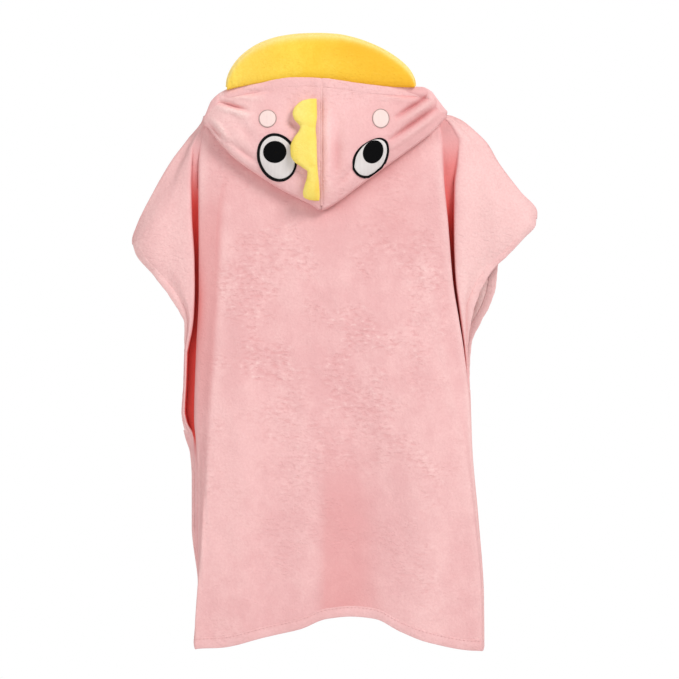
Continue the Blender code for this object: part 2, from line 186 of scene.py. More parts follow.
RIDGE = {
    LEFT: smooth_mm(
        (0, 92), (100, 108), (140, 115.4), (225, 119), (334, 126.5), (444, 134.5), (490, 138.3), (531, 141.8),
        (571, 145.8), (620, 148.5),
    ),
    RIGHT: smooth_mm((0, 92), (100, 106), (200, 118), (330, 142), (400, 158), (460, 167), (600, 179)),
}
RIM = {
    LEFT: smooth_mm(
        (0, 120), (40, 140), (82, 145), (160, 145), (223, 145), (285, 147.4), (375, 150), (410, 147.5), (450, 145.8),
        (510, 145.8), (573, 147), (620, 150),
    ),
    RIGHT: smooth_mm(
        (0, 120), (38, 131), (103, 136), (144, 140.5), (217.5, 146.8), (256, 153), (293, 159), (345, 165),
        (450, 171.5), (600, 181.5),
    ),
}
WING = {
    LEFT: smooth_mm(
        (0, 138), (50, 154), (100, 157.8), (140, 156.8), (190, 153.5), (223, 153), (255, 154), (271, 155.8),
        (289, 159.8), (318, 165), (355, 166), (378, 162), (398, 152),
    ),
    RIGHT: smooth_mm(
        (0, 136), (38, 158.5), (74, 156.2), (103, 152.5), (164, 151.2), (203, 152.2), (249, 157), (293, 162.8),
        (345, 166.8), (450, 173), (600, 182.6),
    ),
}

PANEL_DEPTH = smooth_mm((0, 12), (50, 18), (130, 24), (300, 32), (600, 40))
RIM_DEPTH = {
    LEFT: smooth_mm((0, 8), (100, 17.5), (220, 20.5), (400, 23), (600, 24)),
    RIGHT: smooth_mm((0, 8), (100, 21), (300, 28), (600, 31)),
}
GROOVE_DEPTH = {
    LEFT: smooth_mm((0, 5), (50, 11), (130, 10.5), (220, 7), (375, 6), (408, 19)),
    RIGHT: smooth_mm((0, 4.5), (30, 7.5), (60, 10), (110, 9.5), (160, 6.5), (300, 6), (360, 23)),
}
WING_DEPTH = {
    LEFT: smooth_mm((0, 7), (80, 14), (200, 21), (330, 14), (420, 12)),
    RIGHT: smooth_mm((0, 7), (80, 14), (200, 22), (300, 17), (360, 14), (600, 14)),
}
WING_MIDDLE = {
    LEFT: smooth_mm((0, 4), (80, 12), (170, 21), (260, 19), (360, 10), (420, 8)),
    RIGHT: smooth_mm((0, 4), (60, 12), (140, 21), (240, 20), (340, 10), (600, 7.5)),
}
WING_LIMIT = {
    LEFT: smooth((0.24, 0.5), (0.3, 0.88), (0.37, 0.88), (0.398, 0.5)),
    RIGHT: smooth((0.24, 0.5), (0.3, 0.6), (0.36, 0.5)),
}
BAND_DEPTH = {
    LEFT: smooth_mm((0, 2.2), (120, 7.5), (200, 16.5), (300, 12.5), (385, 6), (420, 4.2)),
    RIGHT: smooth_mm((0, 2.2), (100, 7.5), (170, 16.5), (260, 13), (340, 5), (400, 3.2)),
}
EDGE_DEPTH = {
    LEFT: smooth(
        (0.16, SEAM_HALF_GAP), (0.175, 0.006), (0.225, 0.015), (0.33, 0.01), (0.378, 0.004),
        (0.394, SEAM_HALF_GAP),
    ),
    RIGHT: smooth(
        (0.13, SEAM_HALF_GAP), (0.145, 0.006), (0.195, 0.015), (0.28, 0.01), (0.33, 0.004),
        (0.347, SEAM_HALF_GAP),
    ),
}

SHOULDER = smooth_mm((0, 0), (40, 1), (85, 6), (115, 12), (145, 20))
HEM = smooth_mm(
    (-155, 640), (-145, 637), (-121, 636), (-75, 625.5), (-29, 615), (3, 603), (29, 601), (58, 603.5), (86, 617),
    (121, 630), (167, 639), (178, 639.5), (186, 642.5),
)

# Where the folds lie on the way out: middle, two places on the panel, ridge, facet, rim, both sides of the groove's
# floor, wing, wing's middle, hem band and edge.
FOLDS = np.array((0.0, 0.14, 0.3, 0.45, 0.545, 0.62, 0.67, 0.73, 0.78, 0.88, 0.955, 1.0))
BAND_OUT = 0.955


def section(layer, side, drop, out):
    """The distance from the middle and the depth of the cloth."""
    edge = OUTLINE[layer, side](drop) - SEAM_RADIUS
    ridge, rim, wing = RIDGE[side](drop), RIM[side](drop), WING[side](drop)
    wing = np.minimum(wing, mix(rim, edge, WING_LIMIT[side](drop)))
    rim = np.minimum(rim, wing - 0.0012)
    band = np.maximum(edge - SLEEVE_HEM, mix(wing, edge, 0.45))
    panel = PANEL_DEPTH(drop)
    rim_depth, groove = RIM_DEPTH[side](drop), GROOVE_DEPTH[side](drop)
    xs = np.stack([
        0 * drop, ridge * 0.31, ridge * 0.67, ridge, mix(ridge, rim, 0.55), rim, mix(rim, wing, 0.2),
        mix(rim, wing, 0.84), wing, mix(wing, band, 0.5), band, edge,
    ], axis=-1)
    ys = np.stack([
        panel, panel, panel, panel * 0.98, mix(panel, rim_depth, 0.5), rim_depth, mix(groove, rim_depth, 0.08),
        groove, WING_DEPTH[side](drop), WING_MIDDLE[side](drop), BAND_DEPTH[side](drop), EDGE_DEPTH[side](drop),
    ], axis=-1)
    return through(FOLDS, xs, out), through(FOLDS, ys, out)


def ripples(layer, side, x, drop, out):
    """Soft waves of the hanging cloth, outwards where positive."""
    low = ease(drop, 0.2, 0.48)
    flat = 1 - ease(out, 0.4, 0.56)
    signed = side * x
    if layer == FRONT:
        signed = -signed
    valley = -0.0075 * bell(signed, 0.034, 0.036) + 0.0042 * bell(signed, 0.112, 0.022)
    valley += -0.0034 * bell(signed, -0.05, 0.026) + 0.0026 * bell(signed, -0.098, 0.018)
    drift = signed + 0.02 * np.sin(drop * 7)
    soft = 0.0018 * waver(drift, drop * 0.3, 0.045, 1.3 + layer) + 0.001 * waver(drift, drop * 0.6, 0.021, 4.1)
    soft += 0.0006 * waver(drift, drop * 0.9, 0.0115, 6.4)
    wave = (valley * low + soft * ease(drop, 0.13, 0.24)) * flat
    pleats = 0.0016 * np.sin((x - 0.139) / 0.0065 * 2 * math.pi) * bell(x, 0.147, 0.01)
    wave += pleats * ease(drop, 0.4, 0.44) * (1 - ease(drop, 0.53, 0.58)) * (side == LEFT)
    wing = ease(out, 0.74, 0.8) * (1 - ease(out, 0.92, 0.98))
    fan = np.sin((x - 0.15) / (0.016 + 0.05 * drop) * math.pi + 0.8)
    wave += 0.0016 * fan * wing * ease(drop, 0.05, 0.1) * (1 - ease(drop, 0.22, 0.3))
    return wave


def hang(layer, side, drop, out):
    """Points of the cloth on one side."""
    drop, out = np.broadcast_arrays(np.asarray(drop, float), np.asarray(out, float))
    x, depth = section(layer, side, drop, out)
    depth = depth + ripples(layer, side, x, drop, out)
    return places(side * x, layer * depth, -drop)


def top_drop(layer, side, out):
    """The drop of the cloth's top edge."""
    x, _ = section(layer, side, np.full(np.shape(out), 0.01), out)
    drop = SHOULDER(x) + SEAM_HALF_GAP
    if layer == FRONT:
        drop = drop + NECK_SCOOP * rounded(1 - x / NECK_HALF_WIDTH) * (x < NECK_HALF_WIDTH)
    return drop


def cloth(layer, across, down):
    """Points of a panel: across from -1 to 1, and down from 0 at the shoulder to 1 at the hem."""
    across, down = np.broadcast_arrays(across, down)
    points = np.empty((*across.shape, 3))
    for side in (LEFT, RIGHT):
        here = across < 0 if side == LEFT else across >= 0
        out = np.abs(across[here])
        top = top_drop(layer, side, out)
        x_low, _ = section(layer, side, np.full(out.shape, SHOULDER_TO_HEM), out)
        drop = mix(top, HEM(side * x_low), down[here])
        found = hang(layer, side, drop, out)
        sewn = clamp((np.abs(found[:, 0]) - NECK_HALF_WIDTH) / 0.02)
        curl = mix(1.0, rounded((drop - top) / 0.022), sewn)
        found[:, 1] = layer * mix(SEAM_HALF_GAP, np.abs(found[:, 1]), curl)
        points[here] = found
    return points


# ---------------------------------------------------------------- meshes

def add_object(name, data):
    made = bpy.data.objects.new(name, data)
    bpy.context.scene.collection.objects.link(made)
    return made


def add_mesh(name, points, faces):
    mesh = bpy.data.meshes.new(name)
    mesh.from_pydata(np.asarray(points, float).reshape(-1, 3).tolist(), [], faces)
    mesh.shade_smooth()
    return add_object(name, mesh)


def grid_faces(rows, columns, wrap_rows=False, wrap_columns=False):
    faces = []
    for i in range(rows if wrap_rows else rows - 1):
        for j in range(columns if wrap_columns else columns - 1):
            k, m = (i + 1) % rows, (j + 1) % columns
            faces.append((i * columns + j, i * columns + m, k * columns + m, k * columns + j))
    return faces


def outwards(piece):
    """Turns the faces of a closed piece so that they point outwards."""
    shell = bmesh.new()
    shell.from_mesh(piece.data)
    if shell.calc_volume(signed=True) < 0:
        bmesh.ops.reverse_faces(shell, faces=shell.faces)
    shell.to_mesh(piece.data)
    shell.free()


def apply_modifier(piece, kind, **settings):
    modifier = piece.modifiers.new(kind.lower(), kind)
    for key, value in settings.items():
        setattr(modifier, key, value)
    bpy.ops.object.select_all(action="DESELECT")
    piece.select_set(True)
    bpy.context.view_layer.objects.active = piece
    bpy.ops.object.modifier_apply(modifier=modifier.name)
    piece.select_set(False)


def places_of(piece):
    return np.array([point.co for point in piece.data.vertices])


def mark(piece, name, values):
    """Keeps a number for each point of the mesh, for the material to read."""
    attribute = piece.data.attributes.new(name, "FLOAT", "POINT")
    attribute.data.foreach_set("value", np.asarray(values, np.float32).ravel())


def sheet_piece(name, points, thickness, tones):
    """A flexible sheet through rows and columns of points, given its thickness to both sides, and its tones of
    painted shade, painted light and brushing.
    """
    rows, columns = points.shape[:2]
    piece = add_mesh(name, points, grid_faces(rows, columns))
    for label, tone in zip(("folded", "painted_light", "brushed"), tones):
        mark(piece, label, tone)
    apply_modifier(piece, "SOLIDIFY", thickness=thickness, offset=0.0)
    outwards(piece)
    return piece


def loop_piece(name, loops, closed=False):
    """A solid skin over loops of points, each loop closed round. Its ends are closed with a fan."""
    loops = np.asarray(loops, float)
    rows, columns = loops.shape[:2]
    faces = grid_faces(rows, columns, wrap_rows=closed, wrap_columns=True)
    points = loops.reshape(-1, 3)
    if not closed:
        points = np.concatenate([points, loops[0].mean(0)[None], loops[-1].mean(0)[None]])
        first, last = rows * columns, rows * columns + 1
        for j in range(columns):
            m = (j + 1) % columns
            faces.append((first, m, j))
            faces.append((last, (rows - 1) * columns + j, (rows - 1) * columns + m))
    piece = add_mesh(name, points, faces)
    outwards(piece)
    return piece


def unit(vectors):
    return vectors / np.maximum(np.linalg.norm(vectors, axis=-1, keepdims=True), 1e-9)


def band_loops(edge, inner, thickness, puff, ends=6):
    """Loops of a folded hem band between its folded edge and its inner line, both rows of points."""
    inward = inner - edge
    along = unit(np.gradient(edge, axis=0))
    normal = unit(np.cross(along, inward))
    half = thickness / 2
    profile = [(1.0, half * 0.75), (0.86, half * 0.95), (0.62, half + puff), (0.3, half + puff), (0.08, half * 0.95)]
    turn = [(-half * math.cos(a), half * math.sin(a)) for a in np.linspace(math.pi / 2, -math.pi / 2, ends)[1:-1]]
    loops = []
    for e, i, n in zip(edge, inward, normal):
        width = np.linalg.norm(i)
        across = i / max(width, 1e-9)
        outer = [e + i * share + n * lift for share, lift in profile]
        nose = [e + across * (a + half * 0.6) + n * b for a, b in turn]
        under = [e + i * share - n * lift for share, lift in reversed(profile)]
        loops.append(outer + nose + under)
    return loops


def tube_loops(path, across, up, sides=10):
    """Loops of a round roll along a path, with its half width and half height."""
    path = np.asarray(path, float)
    along = unit(np.gradient(path, axis=0))
    guide = np.tile([0.0, 1.0, 0.0], (len(path), 1))
    first = unit(np.cross(along, guide))
    second = unit(np.cross(first, along))
    angles = round_angles(sides)
    across, up = np.broadcast_to(across, len(path)), np.broadcast_to(up, len(path))
    return [
        [p + f * a * math.cos(t) + s * b * math.sin(t) for t in angles]
        for p, f, s, a, b in zip(path, first, second, across, up)
    ]


# ---------------------------------------------------------------- materials

def new_group(name, inputs, outputs):
    """A node group with named inputs and outputs. Returns it with its nodes, its first node and its last."""
    group = bpy.data.node_groups.new(name, "ShaderNodeTree")
    for label in inputs:
        kind = "NodeSocketVector" if label == "Vector" else "NodeSocketFloat"
        group.interface.new_socket(label, in_out="INPUT", socket_type=kind)
    for label in outputs:
        group.interface.new_socket(label, in_out="OUTPUT", socket_type="NodeSocketFloat")
    n = Nodes(group)
    return group, n, n.add("NodeGroupInput"), n.add("NodeGroupOutput")


class Nodes:
    """Short ways to add nodes to a tree and join them."""

    def __init__(self, tree):
        self.tree = tree

    def add(self, kind, **settings):
        node = self.tree.nodes.new(kind)
        for key, value in settings.items():
            setattr(node, key, value)
        return node

    def put(self, node, **values):
        """Joins or sets a node's inputs, named with _ for each space."""
        for label, value in values.items():
            socket = node.inputs[label.replace("_", " ")]
            if isinstance(value, bpy.types.NodeSocket):
                self.tree.links.new(value, socket)
            else:
                socket.default_value = (*value, 1.0) if socket.type == "RGBA" else value
        return node

    def math(self, operation, a, b):
        node = self.add("ShaderNodeMath", operation=operation)
        for socket, value in zip(node.inputs, (a, b)):
            if isinstance(value, bpy.types.NodeSocket):
                self.tree.links.new(value, socket)
            else:
                socket.default_value = value
        return node.outputs[0]

    def times(self, a, b):
        return self.math("MULTIPLY", a, b)

    def plus(self, a, b):
        return self.math("ADD", a, b)

    def noise(self, vector, scale, detail=2.0, rough=0.5, distortion=0.0):
        node = self.add("ShaderNodeTexNoise")
        self.put(node, Vector=vector, Scale=scale, Detail=detail, Roughness=rough, Distortion=distortion)
        return node.outputs["Fac"]

    def stretched(self, vector, scale):
        return self.put(self.add("ShaderNodeMapping"), Vector=vector, Scale=scale).outputs["Vector"]

    def ranged(self, value, low, high, new_low=0.0, new_high=1.0):
        node = self.add("ShaderNodeMapRange", interpolation_type="SMOOTHSTEP")
        self.put(node, Value=value, From_Min=low, From_Max=high, To_Min=new_low, To_Max=new_high)
        return node.outputs["Result"]

    def colour(self, factor, a, b):
        return self.put(self.add("ShaderNodeMix", data_type="RGBA"), Factor=factor, A=a, B=b).outputs["Result"]

    def marked(self, name):
        return self.add("ShaderNodeAttribute", attribute_name=name).outputs["Fac"]

    def bumped(self, height, strength, distance):
        bump = self.add("ShaderNodeBump")
        return self.put(bump, Strength=strength, Distance=distance, Height=height).outputs["Normal"]


def make_pile_group():
    """Brushed fleece: the tone of its nap, lighter and darker where it was stroked, and the height of its pile."""
    group, n, start, end = new_group("brushed_pile", ["Vector", "Stroke Size"], ["Nap", "Marks", "Ticks", "Height"])
    where = start.outputs["Vector"]
    stroke = n.add("ShaderNodeVectorMath", operation="SCALE")
    stroke = n.put(stroke, Vector=where, Scale=start.outputs["Stroke Size"]).outputs[0]
    broad = n.noise(n.stretched(stroke, (1.0, 1.0, 0.6)), 13.0)
    swirl = n.noise(n.stretched(stroke, (0.75, 1.0, 1.5)), 200.0, distortion=0.3)
    patches = n.ranged(n.noise(stroke, 17.0), 0.4, 0.6)
    marks = n.times(n.ranged(swirl, 0.46, 0.7), patches)
    blotch = n.noise(n.stretched(stroke, (1.0, 1.0, 0.8)), 52.0, 3.0, 0.6)
    fibre = n.noise(where, 620.0, 3.0, 0.65)
    tuft = n.add("ShaderNodeTexVoronoi", feature="SMOOTH_F1")
    n.put(tuft, Vector=where, Scale=330.0, Smoothness=0.7, Randomness=1.0)
    lie = n.noise(n.stretched(where, (1.0, 1.0, 0.35)), 260.0, distortion=0.8)
    height = n.plus(n.times(fibre, 0.45), n.times(tuft.outputs["Distance"], 0.35))
    height = n.math("SUBTRACT", n.plus(height, n.times(lie, 0.35)), n.times(marks, 0.4))
    ticks = n.times(n.ranged(swirl, 0.42, 0.28), patches)
    n.put(end, Nap=n.plus(n.times(broad, 0.55), n.times(blotch, 0.45)), Marks=marks, Ticks=ticks, Height=height)
    return group


def make_thread_group():
    """Satin stitches: close parallel threads across a sewn patch."""
    group, n, start, end = new_group("satin_thread", ["Vector", "Threads"], ["Height", "Shade"])
    where = start.outputs["Vector"]
    wave = n.add("ShaderNodeTexWave", wave_type="BANDS", bands_direction="X", wave_profile="SIN")
    n.put(wave, Vector=where, Scale=start.outputs["Threads"], Distortion=1.2, Detail=2.0, Detail_Scale=0.4)
    n.put(end, Height=wave.outputs["Fac"], Shade=n.noise(where, 90.0))
    return group


PILE = make_pile_group()
THREAD = make_thread_group()


def new_material(name, roughness, sheen, sheen_tint=(1.0, 1.0, 1.0), sheen_roughness=0.45, specular=0.25):
    made = bpy.data.materials.new(name)
    made.use_nodes = True
    shader, n = made.node_tree.nodes["Principled BSDF"], Nodes(made.node_tree)
    n.put(shader, Roughness=roughness, Metallic=0.0, IOR=1.45, Specular_IOR_Level=specular)
    n.put(shader, Sheen_Weight=sheen, Sheen_Roughness=sheen_roughness, Sheen_Tint=sheen_tint)
    return made, shader, n


def fleece(name, light, middle, dark, fold_shade_colour=None, marks=0.3, relief=0.001, stroke=1.0, pale=None):
    """Brushed fleece from its lightest nap to its darkest. Where a piece marks them, it also has painted light, and a
    painted shade that turns to a strong red down in its folds.
    """
    made, shader, n = new_material(name, 0.94, 0.12, light)
    where = n.add("ShaderNodeTexCoord").outputs["Object"]
    pile = n.put(n.add("ShaderNodeGroup", node_tree=PILE), Vector=where, Stroke_Size=stroke).outputs
    pale = pale or light
    tone = n.colour(n.ranged(pile["Nap"], 0.38, 0.62), middle, light)
    strength = marks
    if fold_shade_colour:
        # painted light: paler where the piece marks it as lit
        tone = n.colour(n.marked("painted_light"), tone, pale)
        strength = n.times(n.marked("brushed"), marks)
    tone = n.colour(n.times(pile["Ticks"], strength), tone, pale)
    tone = n.colour(n.times(pile["Marks"], strength), tone, dark)
    tone = n.colour(n.ranged(n.noise(where, 430.0, 2.0, 0.6), 0.3, 0.72, 0.0, 0.24), tone, dark)
    if fold_shade_colour:
        # painted shade: darker, then red, where the piece marks its folds and shadows
        folded = n.marked("folded")
        tone = n.colour(n.ranged(folded, 0.0, 0.36, 0.0, 0.62), tone, dark)
        tone = n.colour(n.ranged(folded, 0.08, 1.0), tone, fold_shade_colour)
    rough = n.ranged(pile["Nap"], 0.3, 0.7, 0.88, 0.98)
    n.put(shader, Base_Color=tone, Roughness=rough, Normal=n.bumped(pile["Height"], 0.75, relief))
    return made


def stitched(name, light, dark, threads, roughness=0.55, sheen=0.1, by_uv=False, gloss=0.25):
    """Satin stitch, by object place or along the piece's own UV map."""
    made, shader, n = new_material(name, roughness, sheen, sheen_roughness=0.3, specular=gloss)
    where = n.add("ShaderNodeTexCoord").outputs["UV" if by_uv else "Object"]
    satin = n.put(n.add("ShaderNodeGroup", node_tree=THREAD), Vector=where, Threads=threads).outputs
    # The threads are darker in the grooves between them, a painted shade, and their tone also varies at random.
    tone = n.colour(n.plus(n.times(satin["Height"], 0.5), n.times(satin["Shade"], 0.5)), dark, light)
    rough = n.ranged(satin["Shade"], 0.3, 0.7, roughness - 0.08, roughness + 0.12)
    n.put(shader, Base_Color=tone, Roughness=rough, Normal=n.bumped(satin["Height"], 0.8, 0.00025))
    return made


# Each fleece lists its lightest, middle and darkest nap. The fourth colour, where given, is the red of the painted
# shade in its folds, and pale serves both the pale nap and the painted light.
PINK_FLEECE = fleece(
    "pink_fleece", (0.89, 0.54, 0.53), (0.82, 0.46, 0.458), (0.74, 0.345, 0.345), (0.74, 0.085, 0.07),
    marks=0.62, pale=(0.95, 0.66, 0.635),
)
BOTTOM_HEM = fleece(
    "pink_bottom_hem", (0.88, 0.535, 0.53), (0.83, 0.48, 0.475), (0.75, 0.38, 0.375),
)
HEM_FLEECE = fleece(
    "pink_hem_fleece", (0.92, 0.6, 0.585), (0.87, 0.53, 0.52), (0.79, 0.42, 0.41),
)
SEAM_FLEECE = fleece(
    "pink_seam_roll", (0.89, 0.55, 0.54), (0.83, 0.48, 0.47), (0.75, 0.37, 0.36),
)
HOOD_PINK = fleece(
    "pink_hood_fleece", (0.9, 0.55, 0.545), (0.85, 0.49, 0.485), (0.76, 0.37, 0.37), (0.56, 0.2, 0.2),
    marks=0.22, pale=(0.96, 0.68, 0.65),
)
HOOD_BAND = fleece(
    "pink_hood_band", (0.9, 0.55, 0.545), (0.85, 0.5, 0.495), (0.78, 0.4, 0.395),
)
BILL_YELLOW = fleece(
    "yellow_bill_fleece", (0.96, 0.68, 0.08), (0.93, 0.61, 0.055), (0.9, 0.48, 0.025), (0.88, 0.34, 0.01),
    marks=0.1, stroke=1.4, relief=0.0007, pale=(0.98, 0.8, 0.32),
)
CREST_YELLOW = fleece(
    "yellow_crest_fleece", (0.955, 0.79, 0.2), (0.93, 0.72, 0.13), (0.89, 0.58, 0.07), (0.86, 0.42, 0.02), marks=0.12,
    stroke=1.8, relief=0.0006, pale=(0.98, 0.87, 0.36),
)
PINK_THREAD = stitched("pink_sewing_thread", (0.86, 0.52, 0.51), (0.7, 0.36, 0.35), 400.0)
BLACK_SATIN = stitched(
    "black_satin_stitch", (0.007, 0.007, 0.008), (0.001, 0.001, 0.001), 600.0, 0.8, 0.0, gloss=0.06,
)
BLACK_OUTLINE = stitched(
    "black_outline_stitch", (0.012, 0.011, 0.012), (0.003, 0.003, 0.003), 600.0, 0.8, 0.0, by_uv=True, gloss=0.1,
)
WHITE_SATIN = stitched("white_eye_fleece", (0.84, 0.8, 0.79), (0.66, 0.6, 0.58), 200.0, 0.85, 0.1)
CHEEK_PALE = stitched("pale_cheek_fleece", (0.96, 0.76, 0.72), (0.9, 0.68, 0.64), 200.0, 0.85, 0.1)
CHEEK_EDGE = stitched("brown_cheek_stitch", (0.62, 0.44, 0.41), (0.46, 0.31, 0.29), 600.0, 0.8, 0.0, by_uv=True)


def keep(piece, paint, body, slot, *nodes):
    """Gives a finished piece its material, the body it moves with, and the parts it stands for."""
    piece.data.materials.clear()
    piece.data.materials.append(paint)
    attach(piece, body)
    if nodes:
        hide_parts(*nodes)
    return piece


# ---------------------------------------------------------------- the garment

COLUMN_COUNTS = {BACK: (13, 13, 13, 8, 8, 8, 5, 8, 8, 7, 5), FRONT: (10, 10, 10, 6, 6, 6, 4, 6, 6, 5, 4)}
ROW_COUNTS = {BACK: 228, FRONT: 160}
HEM_START = 1 - HEM_DEPTH / SHOULDER_TO_HEM
PANEL_END = 1 - 0.35 * HEM_DEPTH / SHOULDER_TO_HEM


def columns_across(layer):
    out = [0.0]
    for start, end, count in zip(FOLDS, FOLDS[1:], COLUMN_COUNTS[layer]):
        out += list(np.linspace(start, end, count + 1)[1:])
    out = np.array(out)
    return np.concatenate([-out[::-1], out[1:]])


def cloth_tones(layer, across, points):
    """Painted shade, painted light and how brushed each point of a panel is, from 0 to 1."""
    out = np.broadcast_to(np.abs(across)[None, :], points.shape[:2])
    left = np.broadcast_to(across[None, :] < 0, points.shape[:2])
    x, depth, drop = points[..., 0], np.abs(points[..., 1]), -points[..., 2]
    middle = out < 0.5
    # Painted shade: red in the grooves between body and wing, darker and redder on the left facet and down the left
    # groove, and darker in the lower valley.
    rim = np.where(left, RIM_DEPTH[LEFT](drop), RIM_DEPTH[RIGHT](drop))
    groove = clamp((rim - 0.0015 - depth) / 0.0075)
    in_groove = ease(out, 0.58, 0.63) * (1 - ease(out, 0.755, 0.785))
    deep_from = np.where(left, ease(drop, 0.05, 0.17), ease(drop, 0.07, 0.19))
    closed = np.where(left, ease(drop, 0.385, 0.425), ease(drop, 0.29, 0.35))
    top_tone = np.where(left, 0.42, 0.55)
    folded = groove ** 0.7 * in_groove * mix(top_tone, 1.0, deep_from) * ease(drop, 0.008, 0.035) * (1 - closed)
    facet = ease(out, 0.43, 0.5) * (1 - ease(out, 0.7, 0.78)) * left
    folded += 0.27 * facet * ease(drop, 0.06, 0.16) * (1 - 0.4 * ease(drop, 0.3, 0.42))
    folded += 0.3 * left * bell(out, 0.615, 0.035) * bell(drop, 0.245, 0.05)
    valley = ease(x, -0.016, 0.004) * (1 - ease(x, 0.03, 0.095))
    folded += 0.23 * valley * ease(drop, 0.33, 0.5) * middle
    # Darker towards the hem, and in a patch up on the right.
    folded += 0.06 * ease(drop, 0.5, 0.63)
    folded += 0.12 * bell(x, 0.082, 0.045) * bell(drop, 0.155, 0.055) * middle
    # Painted shadow of the hood: faint over the top of the middle, and stronger in a band along the hood's lower
    # edge.
    folded += 0.05 * (1 - ease(drop, 0.1, 0.28)) * middle
    if layer == BACK:
        below = hood_limits(x)[1] + drop
        near = np.exp(-np.abs(below) / np.where(below > 0, 0.018, 0.008))
        folded += 0.17 * near * (np.abs(x) < 0.135) * ease(drop, 0.03, 0.07)
    # Painted light: on the wings (most on the right), along the ridge and rim lines, in a band low on the right, and
    # on the front layer's right wing where it shows past the back.
    wing = ease(out, 0.76, 0.83)
    painted_light = 0.55 * wing * ~left * (1 - 0.5 * ease(drop, 0.2, 0.34))
    painted_light += 0.25 * wing * left * (1 - ease(drop, 0.22, 0.34))
    painted_light += 0.35 * bell(out, 0.6, 0.022) * ease(drop, 0.02, 0.08)
    painted_light += 0.2 * bell(out, 0.44, 0.03) * ease(drop, 0.1, 0.2)
    painted_light += 0.4 * bell(out, 0.775, 0.012) * ease(drop, 0.1, 0.2)
    painted_light += 0.22 * bell(x, 0.118, 0.024) * ease(drop, 0.35, 0.5)
    painted_light += 0.45 * ease(out, 0.52, 0.66) * ~left * ease(drop, 0.32, 0.38)
    if layer == FRONT:
        painted_light += 0.9 * ease(out, 0.7, 0.8) * ~left * bell(drop, 0.235, 0.055)
    brushed = (1 - ease(out, 0.5, 0.62)) * (0.25 + 0.75 * bell(drop, 0.27, 0.15))
    brushed += 0.6 * bell(x, 0.135, 0.035) * bell(drop, 0.5, 0.12)
    return [clamp(tone) for tone in (folded, painted_light, brushed)]


def soften_inside(piece):
    """Makes the painted shade weaker on a panel's inside, where the folds are shallow."""
    near, far = np.split(np.abs(places_of(piece)[:, 1]), 2)
    inner = np.concatenate([near < far, far < near])
    tones = piece.data.attributes["folded"].data
    strength = np.array([tone.value for tone in tones]) * np.where(inner, 0.3, 1.0)
    tones.foreach_set("value", strength.astype(np.float32))


def make_panel(name, layer):
    across = columns_across(layer)
    down = np.linspace(0, PANEL_END, ROW_COUNTS[layer])
    points = cloth(layer, across[None, :], down[:, None])
    piece = sheet_piece(name, points, FLEECE, cloth_tones(layer, across, points))
    soften_inside(piece)
    return piece


def make_stitches(name, path, normal, length=0.0032, gap=0.0012, width=0.00042):
    """A row of sewing stitches along a path, standing a little proud of the cloth."""
    path, normal = np.asarray(path), np.asarray(normal)
    reach = np.concatenate([[0], np.cumsum(np.linalg.norm(np.diff(path, axis=0), axis=1))])
    points, faces = [], []

    def at(distance, line):
        return np.array([np.interp(distance, reach, line[:, k]) for k in range(3)])

    for start in np.arange(0.002, reach[-1] - length, length + gap):
        up = unit(at(start + length / 2, normal))
        line = at(start + length, path) - at(start, path)
        aside = unit(np.cross(unit(line), up))
        first = len(points)
        for share, swell, lift in ((0.06, 0.45, -0.0001), (0.5, 1.0, 0.0003), (0.94, 0.45, -0.0001)):
            centre = at(start, path) + line * share + up * lift
            for angle in round_angles(5):
                points.append(centre + (aside * math.cos(angle) + up * math.sin(angle)) * width * swell)
        for ring in range(2):
            for k in range(5):
                a, b = first + ring * 5 + k, first + ring * 5 + (k + 1) % 5
                faces.append((a, b, b + 5, a + 5))
        faces.append(tuple(first + k for k in reversed(range(5))))
        faces.append(tuple(first + 10 + k for k in range(5)))
    piece = add_mesh(name, points, faces)
    outwards(piece)
    return piece


def make_bottom_hem(name, layer):
    """The bottom hem, turned up inside, and its row of stitches."""
    across = np.linspace(-1, 1, 240)
    edge = cloth(layer, across, np.full(across.shape, 1.0))
    inner = cloth(layer, across, np.full(across.shape, HEM_START))
    hem = loop_piece(name, band_loops(edge, inner, FLEECE * 1.35, 0.0006))
    line = mix(edge, inner, 0.84)
    along = unit(np.gradient(edge, axis=0))
    normal = unit(np.cross(along, inner - edge))
    normal *= np.sign(normal[:, 1:2] * layer)
    stitches = make_stitches(name + "_stitches", line + normal * (FLEECE * 0.5 + 0.0004), normal)
    return hem, stitches


def arm_edge(layer, side, out, count=150):
    drops = np.linspace(TIP_DROP[side] + 0.001, ARM_BOTTOM[side], count)
    edge = hang(layer, side, drops, np.full(drops.shape, out))
    edge[:, 0] += side * 0.0007 * waver(drops, 0 * drops, 0.007, 3.3 + layer) * (out > BAND_OUT)
    return edge


def make_sleeve_hem(name, layer, side):
    """The turned edge of the sleeve's opening on one layer."""
    edge, inner = arm_edge(layer, side, 1.0), arm_edge(layer, side, BAND_OUT)
    return loop_piece(name, band_loops(edge, inner, FLEECE * 1.3, 0.0005))


def make_seam(name, path):
    return loop_piece(name, tube_loops(path, SEAM_RADIUS, SEAM_RADIUS * 1.25))


def side_path(side, drops):
    return places(side * (OUTLINE[BACK, side](drops) - SEAM_RADIUS * 0.9), 0, -drops)


